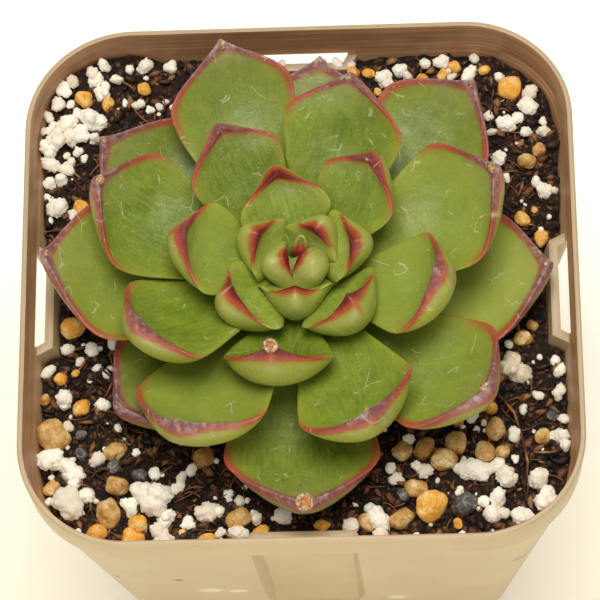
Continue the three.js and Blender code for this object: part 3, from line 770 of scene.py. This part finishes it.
# The leaves
def leaf_form(count):
    turn, reach, rise, width, leave, arrive, lift, roll, bow, pull_base, pull_tip = LEAVES[count]
    age = max(count - HEART_LEAVES + 1, 0) / (OUTERMOST - HEART_LEAVES + 1)
    start = np.array([np.interp(age, (0, 1), ATTACH_RADIUS), np.interp(age, (0, 1), ATTACH_HEIGHT)])
    end = np.array([reach, RISE_FROM + rise])
    chord = np.linalg.norm(end - start)
    leave, arrive = math.radians(leave), math.radians(arrive)
    return {
        "age": age,
        "bends": [start, start + pull_base * chord * np.array([math.cos(leave), math.sin(leave)]),
                  end - pull_tip * chord * np.array([math.cos(arrive), math.sin(arrive)]), end],
        "azimuth": math.radians(FIRST_TURN - GOLDEN_TURN * count + turn),
        "shoulder": 1 - END_LENGTH * width / (BLADE_OVER_CHORD * chord),
        "thickness": np.interp(age, (0, 1), LEAF_THICKNESS),
        "rim_drop": np.interp(age, (0, RIM_AGED), RIM_DROP),
        "rim_span": np.interp(age, (0, RIM_AGED), RIM_SPAN),
        "point": np.interp(age, (0, TIP_AGED), POINT_LENGTH),
        "rim_at_tip": np.interp(age, (0, TIP_AGED), RIM_AT_TIP),
        "rounding": np.interp(age, (0, ROUNDING_AGED), END_ROUNDING),
        "roll": math.radians(roll),
        "length": BLADE_OVER_CHORD * chord,
        "width": width,
        "lift": lift,
        "bow": bow,
    }


def half_width(form, share):
    shoulder = form["shoulder"]
    base = BASE_SHARE + (1 - BASE_SHARE) * smooth_step(share / shoulder)
    beyond = np.clip((share - shoulder) / (1 - shoulder), 0, 1)
    end = np.clip(1 - (1 + END_FULLNESS) * beyond ** 2 + END_FULLNESS * beyond ** 3, 0, 1)
    return form["width"] / 2 * np.where(share < shoulder, base, end ** form["rounding"])


def midrib(form, share):
    """Places along the leaf's middle line, as distance out and height, with their directions"""
    a, b, c, d = form["bends"]
    s = share[:, None]
    place = (1 - s) ** 3 * a + 3 * (1 - s) ** 2 * s * b + 3 * (1 - s) * s ** 2 * c + s ** 3 * d
    along = (1 - s) ** 2 * (b - a) + 2 * (1 - s) * s * (c - b) + s ** 2 * (d - c)
    return place, along / np.linalg.norm(along, axis=1)[:, None]


def undulation(count, side, along):
    """Slow unevenness of a blade, in millimetres"""
    swell = np.zeros(len(side))
    for depth, size, apart in UNEVEN:
        swell += [depth * noise.noise((a / size, b / size, apart * count)) for a, b in zip(side, along)]
    return swell


def make_leaf(count):
    """One leaf from a ball of rings and segments, laid along the leaf's curve"""
    form = leaf_form(count)
    leaf = added(bpy.ops.mesh.primitive_uv_sphere_add, segments=AROUND, ring_count=STATIONS, radius=1)
    ball = np.array([v.co for v in leaf.data.vertices])
    ring = np.arccos(np.clip(ball[:, 2], -1, 1)) / math.pi
    share = 1 - (1 - ring) ** STATION_CROWDING
    around = np.arctan2(ball[:, 1], ball[:, 0])
    v = np.cos(around)
    under = np.sin(around) < -1e-4
    pole = np.abs(ball[:, 2]) > 1 - 1e-6
    v[pole] = 0

    place, along = midrib(form, share)
    point = form["point"] * np.clip(1 - (1 - share) / POINT_SHARE, 0, 1) ** 2
    place = place + point[:, None] * along
    half = half_width(form, share)
    lifted = form["lift"] * half * smooth_step(share / LIFT_OVER)
    filled = BASE_THICKNESS + (1 - BASE_THICKNESS) * smooth_step(share / BELLY_OVER)
    thick = form["thickness"] * filled * np.sqrt(np.clip(1 - share ** TIP_THINNING, 0, 1))
    belly = thick * np.clip(1 - np.abs(v) ** BELLY_POWER, 0, 1) ** BELLY_ROUND
    side = v * half
    from_tip = np.hypot((1 - share) * form["length"], side)
    at_tip = form["rim_at_tip"]
    fullness = at_tip + (1 - at_tip) * smooth_step((from_tip - RIM_FULL_FROM) / RIM_FULL_OVER)
    rolled = np.clip(1 - (1 - np.abs(v)) * half / (fullness * form["rim_span"]), 0, 1) * (share > 0)
    drop = fullness * form["rim_drop"] * (1 - np.sqrt(1 - rolled ** 2))
    height = lifted * np.abs(v) ** EDGE_POWER - np.where(under, np.maximum(belly, drop), drop)
    height = height + undulation(count, side, share * form["length"]) * smooth_step(share / UNEVEN_OVER)
    swing = form["bow"] * 4 * share * (1 - share)
    across = side * math.cos(form["roll"]) - height * math.sin(form["roll"]) + swing
    above = side * math.sin(form["roll"]) + height * math.cos(form["roll"])
    leaf.data.vertices.foreach_set("co", in_rosette(form, place, along, across, above).ravel())

    paint(leaf, count, form, share, v, half, belly, under)
    lay_out(leaf, count, side, share * form["length"])
    pick(leaf)
    bpy.ops.object.mode_set(mode="EDIT")
    face_outward()
    apply(leaf, "SUBSURF", levels=1, render_levels=1)
    pick(leaf)
    bpy.ops.object.shade_smooth()
    return leaf


def in_rosette(form, place, along, across, above):
    """Turns places beside and above the midrib into metres round the rosette's centre"""
    out = place[:, 0] - above * along[:, 1]
    up = place[:, 1] + above * along[:, 0]
    cos, sin = math.cos(form["azimuth"]), math.sin(form["azimuth"])
    x = ROSETTE[0] + out * cos - across * sin
    y = ROSETTE[1] + out * sin + across * cos
    return np.stack([x, y, up], 1) * MM


def paint(leaf, count, form, share, v, half, belly, under):
    """Writes where the skin turns warm, red and dusky, for the material"""
    age = form["age"]
    tone = LEAF_TONES.get(count, 0)
    from_rim = (1 - np.abs(v)) * half + np.where(under, belly, 0)
    back = (1 - share) * form["length"]
    from_tip = np.hypot(back, v * half)
    width = np.where(under, at_age(BLUSH_WIDTH_UNDER, age), at_age(BLUSH_WIDTH, age))
    width = width * (1 + np.exp(-(from_tip / TIP_FLARE) ** 2))
    reach = at_age(BLUSH_REACH, age)
    blush = np.exp(-(from_rim / width) ** 2) * np.exp(-(from_tip / reach) ** 4)
    fading = np.exp(-(from_tip / (0.55 * reach)) ** 2)
    grown = smooth_step(age / 0.3)
    keel = under * np.exp(-(v * half / KEEL_WIDTH) ** 2) * np.exp(-(back / KEEL_REACH) ** 2) * grown
    core = np.exp(-(from_rim / np.where(under, CORE_WIDTH_UNDER, CORE_WIDTH)) ** 4)
    dusk = np.exp(-(from_tip / at_age(DUSK_REACH, age)) ** 2) * np.exp(-(from_rim / DUSK_WIDTH) ** 2)
    marks = {
        "blush": np.maximum(blush * (0.68 + 0.32 * fading), KEEL_STRENGTH * keel),
        "core": np.exp(-(from_tip / at_age(CORE_REACH, age)) ** 4) * core * at_age(CORE_STRENGTH, age),
        "grown": np.full(len(share), grown),
        "warm": np.exp(-from_rim / at_age(WARM_WIDTH, age)) * smooth_step(share / 0.4),
        "dusk": smooth_step((age - 0.2) / 0.5) * dusk,
        "bloom": np.exp(-(from_tip / at_age(BLOOM_REACH, age)) ** 2),
        "under": under * smooth_step(belly),
        "pale": np.full(len(share), max(tone, 0)),
        "deep": np.full(len(share), max(-tone, 0)),
    }
    for name, values in marks.items():
        mark(leaf, name, values)


def lay_out(leaf, count, side, along):
    """Lays the leaf's map flat, so that scratches run true on the blade"""
    mesh = leaf.data
    vertex = np.zeros(len(mesh.loops), dtype=np.int32)
    mesh.loops.foreach_get("vertex_index", vertex)
    uv = np.stack([side[vertex], along[vertex]], 1) / MAP_SIZE + count * np.array(MAP_STEPS)
    mesh.uv_layers.active.data.foreach_set("uv", uv.astype(np.float32).ravel())


def make_growing_tip():
    """The closed bud between the smallest leaves: two plump halves pressed together"""
    halves = []
    for side in (-1, 1):
        half = added(bpy.ops.mesh.primitive_uv_sphere_add, segments=32, ring_count=20, radius=1)
        for vertex in half.data.vertices:
            narrow = 1 - BUD_NARROWING * vertex.co.z
            x, y, z = [c * r for c, r in zip(vertex.co, BUD_RADIUS)]
            vertex.co = Vector(BUD_CENTRE) + Vector((x * narrow + side * BUD_APART, y * narrow, z))
        half.scale = (MM, MM, MM)
        settle(half)
        bpy.ops.object.shade_smooth()
        halves.append(half)
    return halves


def make_plant():
    heart_skin = leaf_skin("heart_skin", "#a3b04f", "#b6c066", "#d8dca0", "#b23a26", "#6a1016", 0.26)
    inner_skin = leaf_skin("inner_leaf_skin", "#6f8a20", "#8a9e34", "#b4bd60", "#ae3e2a", "#6c141c", 0.28)
    middle_skin = leaf_skin("middle_leaf_skin", "#547014", "#738b22", "#9dab48", "#b04434", "#7c262c", 0.3)
    outer_skin = leaf_skin("outer_leaf_skin", "#526c14", "#6f8520", "#98a446", "#b0503e", "#864046", 0.32)
    heart = [make_leaf(count) for count in range(HEART_LEAVES)] + make_growing_tip()
    dress(joined(*heart), "rosette_heart", heart_skin, "heart_skin", "heart")
    for count in range(HEART_LEAVES, OUTERMOST + 1):
        skin, slot = (inner_skin, "inner_leaf") if count < FIRST_MIDDLE_LEAF else (middle_skin, "middle_leaf")
        if count >= FIRST_OUTER_LEAF:
            skin, slot = outer_skin, "outer_leaf"
        dress(make_leaf(count), f"fleshy_leaf_{count:02d}", skin, slot, f"leaf_{count:02d}")


def make_dried_tips(material):
    """The small withered end of each older leaf: a ring round a darker core, or a crumpled point"""
    ends = []
    for count, size in sorted((RINGS | POINTS).items()):
        ring = count in RINGS
        form = leaf_form(count)
        place, along = midrib(form, np.array([TIP_SHARE]))
        seat = in_rosette(form, place, along, np.array([0.0]), np.array([-0.5 * form["rim_drop"]]))[0]
        facing = in_rosette(form, place + along, along, np.array([0.0]), np.array([0.3]))[0] - seat
        if ring:
            facing = facing / np.linalg.norm(facing) + RING_UPTURN
            seat = seat + RING_RAISED * MM * facing / np.linalg.norm(facing)
        turn = Vector(facing).to_track_quat("Z", "Y").to_euler()
        if ring:
            around, across = [radius * size * MM for radius in RING_RADII]
            husk = added(bpy.ops.mesh.primitive_torus_add, major_radius=around, minor_radius=across,
                         major_segments=24, minor_segments=8, location=seat, rotation=turn)
            ends.append((husk, 0.0))
        core, height = (RING_CORE, RING_CORE_HEIGHT) if ring else (POINT_CORE, POINT_CORE_HEIGHT)
        ball = added(bpy.ops.mesh.primitive_ico_sphere_add, subdivisions=3, radius=core * size * MM,
                     location=seat, rotation=turn, scale=(1, 0.85, height))
        ends.append((ball, float(ring)))
    for end, core in ends:
        settle(end)
        mark(end, "core", np.full(len(end.data.vertices), core))
    tips = joined(*[end for end, core in ends])
    for vertex in tips.data.vertices:
        vertex.co += TIP_CRUMPLE * MM * noise.noise_vector(vertex.co / (TIP_CRUMPLE_SIZE * MM))
    bpy.ops.object.shade_smooth()
    dress(tips, "dried_tips", material, "outer_leaf", "leaf_29")


# The soil and what lies on it
def soil_height(x, y):
    """Height of the bed in millimetres, before its fine crumb"""
    back = BACK_RISE * smooth_step(y / BACK_REACH)
    corner = (CORNER_RISE * smooth_step((CORNER_START[0] - x) / CORNER_REACH[0])
              * smooth_step((y - CORNER_START[1]) / CORNER_REACH[1]))
    clods = np.sin(0.9 * x + 1.3) * np.cos(0.7 * y) + np.sin(0.37 * x - 0.61 * y + 2)
    return SOIL_LEVEL + back + corner + SOIL_RELIEF * clods


def crumb(x, y):
    """The bed's fine grain, which is pressed flat under the lowest leaf"""
    loose = smooth_step(math.dist((x, y), LOW_LEAF_AT) / LOW_LEAF_REACH)
    grain = noise.fractal((x / CRUMB_SIZE, y / CRUMB_SIZE, 5), 0.9, 2.1, 4)
    return CRUMB_RELIEF * loose * grain - PRESSED * (1 - loose)


def make_bed(material):
    bed = added(bpy.ops.mesh.primitive_grid_add, x_subdivisions=SOIL_CELLS, y_subdivisions=SOIL_CELLS,
                size=2 * SOIL_HALF * MM)
    places = np.array([v.co for v in bed.data.vertices]) / MM
    places[:, 2] = soil_height(places[:, 0], places[:, 1]) + [crumb(x, y) for x, y in places[:, :2]]
    bed.data.vertices.foreach_set("co", (places * MM).ravel())
    bpy.ops.object.mode_set(mode="EDIT")
    bpy.ops.mesh.select_mode(type="EDGE")
    bpy.ops.mesh.select_all(action="DESELECT")
    bpy.ops.mesh.select_non_manifold(extend=False)
    bpy.ops.mesh.extrude_region_move()
    bpy.ops.transform.resize(value=(1, 1, 0))
    bpy.ops.transform.translate(value=(0, 0, -SOIL_LEVEL * MM))
    bpy.ops.mesh.edge_face_add()
    face_outward()
    room = pot_inside(WALL + CLEARANCE)
    cut(room, pocket_panels(CLEARANCE))
    cut(bed, room, "INTERSECT", "MANIFOLD")
    pick(bed)
    bpy.ops.object.shade_smooth_by_angle(angle=math.radians(60))
    dress(bed, "soil_bed", material, "soil_mix", "soil")


def lump(subdivisions, seed, uneven):
    """One stone about 1 mm across, left unlinked to be copied: a ball moved in and out by slow noise"""
    stone = added(bpy.ops.mesh.primitive_ico_sphere_add, subdivisions=subdivisions, radius=0.5 * MM)
    offset = Vector((seed * 7.3, seed * 3.1, seed * 1.7))
    for vertex in stone.data.vertices:
        way = vertex.co.normalized()
        slow, fine = noise.noise(way * 0.9 + offset), noise.noise(way * 3 + offset)
        vertex.co *= 1 + uneven * slow + 0.2 * uneven * fine
    return as_master(stone)


def popcorn(subdivisions, seed):
    """A puffed white grain about 1 mm across: a ball pushed out to the skin of a few smaller balls"""
    draw = np.random.default_rng(seed)
    lobes = draw.normal(size=(5, 3))
    lobes *= (draw.uniform(0.12, 0.3, 5) / np.linalg.norm(lobes, axis=1))[:, None]
    radii = draw.uniform(0.26, 0.42, 5)
    least = 0.24
    grain = added(bpy.ops.mesh.primitive_ico_sphere_add, subdivisions=subdivisions, radius=1)
    for vertex in grain.data.vertices:
        way = np.array(vertex.co.normalized())
        ahead = lobes @ way
        inside = ahead ** 2 - (lobes ** 2).sum(1) + radii ** 2
        skin = np.where(inside > 0, ahead + np.sqrt(np.maximum(inside, 0)), least)
        offset = Vector((seed, 0, 0))
        swell = 1.0 + 0.4 * abs(noise.noise(Vector(way) * 2.5 + offset))
        swell += 0.07 * abs(noise.noise(Vector(way) * 7 + offset))
        vertex.co = Vector(way * max(skin.max(), least) * swell) * MM
    return as_master(grain)


def as_master(obj):
    """Readies a stone to be copied, and takes it out of the scene"""
    obj.data.attributes.new("tone", "FLOAT", "POINT")
    for polygon in obj.data.polygons:
        polygon.use_smooth = True
    bpy.context.collection.objects.unlink(obj)
    return obj


def scatter(name, places, masters, material, slot, seed, flatten, sunk, slim=1):
    """One piece of many stones, each a turned and squashed copy of a master, part sunk in the soil"""
    draw = np.random.default_rng(seed)
    copies = []
    for x, y, size in places:
        master = masters[draw.integers(len(masters))]
        copy = master.copy()
        copy.data = master.data.copy()
        seat = Vector((x, y, soil_height(x, y) + (0.5 * flatten - sunk) * size)) * MM
        wide = size * slim * draw.uniform(0.75, 1)
        squash = Matrix.Diagonal((size, wide, size * flatten * draw.uniform(0.85, 1.15), 1))
        turned = Euler(draw.uniform(0, 2 * math.pi, 3)).to_matrix().to_4x4()
        tilt = Euler((*draw.uniform(-0.35, 0.35, 2), draw.uniform(0, 2 * math.pi))).to_matrix().to_4x4()
        copy.data.transform(Matrix.Translation(seat) @ tilt @ squash @ turned)
        tones = np.full(len(copy.data.vertices), draw.uniform(0, 1), dtype=np.float32)
        copy.data.attributes["tone"].data.foreach_set("value", tones)
        bpy.context.collection.objects.link(copy)
        copies.append(copy)
    dress(joined(*copies), name, material, slot, "soil")


def inside_pot(x, y, margin):
    half = BED_HALF - margin
    inner = half - (RIM_CORNER / MM - margin)
    dx, dy = max(abs(x) - inner, 0), max(abs(y) - inner, 0)
    at_pocket = min(abs(x), abs(y)) < POCKET_WIDE and max(abs(x), abs(y)) > POCKET_IN - margin
    return max(abs(x), abs(y)) < half and math.hypot(dx, dy) < half - inner and not at_pocket


def sown(number, sizes, seed, margin=1.5):
    """Places drawn over the whole bed but where a leaf lies on it, with a size for each"""
    draw = np.random.default_rng(seed)
    found = []
    while len(found) < number:
        x, y = draw.uniform(-BED_REACH, BED_REACH, 2)
        if inside_pot(x, y, margin) and math.dist((x, y), LOW_LEAF_AT) > LOW_LEAF_REACH + margin:
            found.append((x, y, draw.uniform(*sizes)))
    return found


def make_stones():
    large_popcorn = [popcorn(4, seed) for seed in range(1, 9)]
    small_popcorn = [popcorn(3, seed) for seed in range(1, 9)]
    crumbs = [popcorn(2, seed) for seed in range(11, 19)]
    rounded = [lump(4, seed, 0.3) for seed in range(21, 29)]
    splinters = [lump(1, seed, 1.1) for seed in range(31, 39)]
    white = perlite()
    golden = pebble("golden_grit", "#dd9428", "#fbbf54", "#ffeaae", "#8a5a20")
    tan = pebble("tan_pebble", "#a87432", "#e2b66c", "#fbe6b4", "#4a2c10")
    grey = pebble("grey_slate", "#3a3b38", "#62615a", "#85827a", "#cfcabc")
    cream = pebble("pumice", "#d6c4a2", "#f0e2c6", "#faf2de", "#a8906e")
    coarse = [stone for stone in PERLITE if stone[2] >= COARSE_PERLITE]
    fine = [stone for stone in PERLITE if stone[2] < COARSE_PERLITE]
    tiny = sown(260, (0.5, 1.2), 5)
    peat_places = sown(3400, (0.7, 2.8), 11, margin=0.9)
    scatter("perlite", coarse, large_popcorn, white, "perlite", 3, flatten=0.8, sunk=0.16)
    scatter("fine_perlite", fine, small_popcorn, white, "perlite", 4, flatten=0.85, sunk=0.12)
    scatter("perlite_crumbs", tiny, crumbs, white, "perlite", 6, flatten=0.85, sunk=0.1)
    scatter("golden_grit", GOLDEN_GRIT, rounded, golden, "golden_grit", 7, flatten=0.8, sunk=0.2)
    scatter("tan_pebbles", TAN_PEBBLES, rounded, tan, "tan_pebble", 8, flatten=0.8, sunk=0.2)
    scatter("slate_chips", GREY_SLATE, rounded, grey, "grey_slate", 9, flatten=0.7, sunk=0.2)
    scatter("pumice", PUMICE, large_popcorn, cream, "perlite", 10, flatten=0.7, sunk=0.2)
    scatter("peat_chips", peat_places, splinters, chips(), "soil_mix", 12, flatten=0.4, sunk=0.1, slim=0.55)


def make_fibres(material):
    """Curling fibres of the peat, and one long root with its side roots"""
    curve = bpy.data.curves.new("peat_fibres", "CURVE")
    curve.dimensions = "3D"
    curve.bevel_depth = 1 * MM
    curve.bevel_resolution = 0
    curve.use_fill_caps = True
    draw = np.random.default_rng(13)
    steps = 6
    for x, y, length in sown(520, (1.2, 5), 14, margin=4):
        heading, curl = draw.uniform(0, 2 * math.pi), draw.uniform(-0.15, 0.15)
        height = draw.uniform(0.2, 1.0)
        path = []
        for i in range(steps + 1):
            path.append((x, y, 0.35 + height * math.sin(math.pi * i / steps)))
            x, y = x + length / steps * math.cos(heading), y + length / steps * math.sin(heading)
            heading += curl + draw.uniform(-0.2, 0.2)
        add_strand(curve, path, draw.uniform(0.07, 0.26))
    for root, thickness in LONG_ROOTS:
        add_strand(curve, root, thickness)
    obj = bpy.data.objects.new("peat_fibres", curve)
    bpy.context.collection.objects.link(obj)
    pick(obj)
    bpy.ops.object.convert(target="MESH")
    dress(bpy.context.active_object, "peat_fibres", material, "soil_mix", "soil")


def add_strand(curve, path, thickness):
    """Adds a strand that tapers to its end, along places given as x, y and height over the soil"""
    strand = curve.splines.new("POLY")
    strand.points.add(len(path) - 1)
    for i, (point, (x, y, over)) in enumerate(zip(strand.points, path)):
        point.co = (x * MM, y * MM, (soil_height(x, y) + over) * MM, 1)
        point.radius = thickness * (1 - 0.6 * i / len(path))


# Camera, floor and light
def make_camera():
    elevation, yaw = math.radians(CAMERA_ELEVATION), math.radians(CAMERA_YAW)
    out = math.cos(elevation)
    back = Vector((math.sin(yaw) * out, -math.cos(yaw) * out, math.sin(elevation)))
    camera = bpy.data.objects.new("camera", bpy.data.cameras.new("camera"))
    camera.data.sensor_width = CAMERA_SENSOR
    camera.data.lens = CAMERA_LENS
    level_view = (-back).to_track_quat("-Z", "Y").to_matrix().to_4x4()
    rolled = level_view @ Matrix.Rotation(math.radians(CAMERA_ROLL), 4, "Z")
    camera.matrix_world = Matrix.Translation(Vector(CAMERA_TARGET) * MM + back * CAMERA_DISTANCE) @ rolled
    bpy.context.scene.collection.objects.link(camera)
    bpy.context.scene.camera = camera


def make_floor():
    floor = added(bpy.ops.mesh.primitive_plane_add, size=FLOOR_SIZE)
    floor.name = "floor"
    floor.data.materials.append(table_top())


def area_light(name, power, place):
    light = bpy.data.objects.new(name, bpy.data.lights.new(name, "AREA"))
    light.data.energy = power
    light.data.size = LAMP_SIZE
    light.data.color = WARM_WHITE
    light.location = place
    light.rotation_euler = (Vector(LIT_POINT) - Vector(place)).to_track_quat("-Z", "Y").to_euler()
    bpy.context.scene.collection.objects.link(light)


def make_light():
    world = bpy.data.worlds.new("studio")
    world.use_nodes = True
    background = world.node_tree.nodes["Background"]
    background.inputs["Color"].default_value = (1, 0.97, 0.88, 1)
    background.inputs["Strength"].default_value = 0.35
    bpy.context.scene.world = world
    area_light("overhead", 6.3, (0, 0.12, 0.93))
    area_light("front", 3.4, (0, -0.9, 0.25))
    bpy.context.scene.view_settings.view_transform = "Standard"


make_camera()
make_floor()
make_light()
make_pot(pot_plastic())
make_bed(peat())
make_stones()
make_fibres(fibres())
make_plant()
make_dried_tips(dried())
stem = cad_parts["stem"]
stem.data.materials.clear()
stem.data.materials.append(leaf_skin("stem_skin", "#7f8a4a", "#949c5e", "#a5a874", "#96302a", "#5a2026", 0.4))
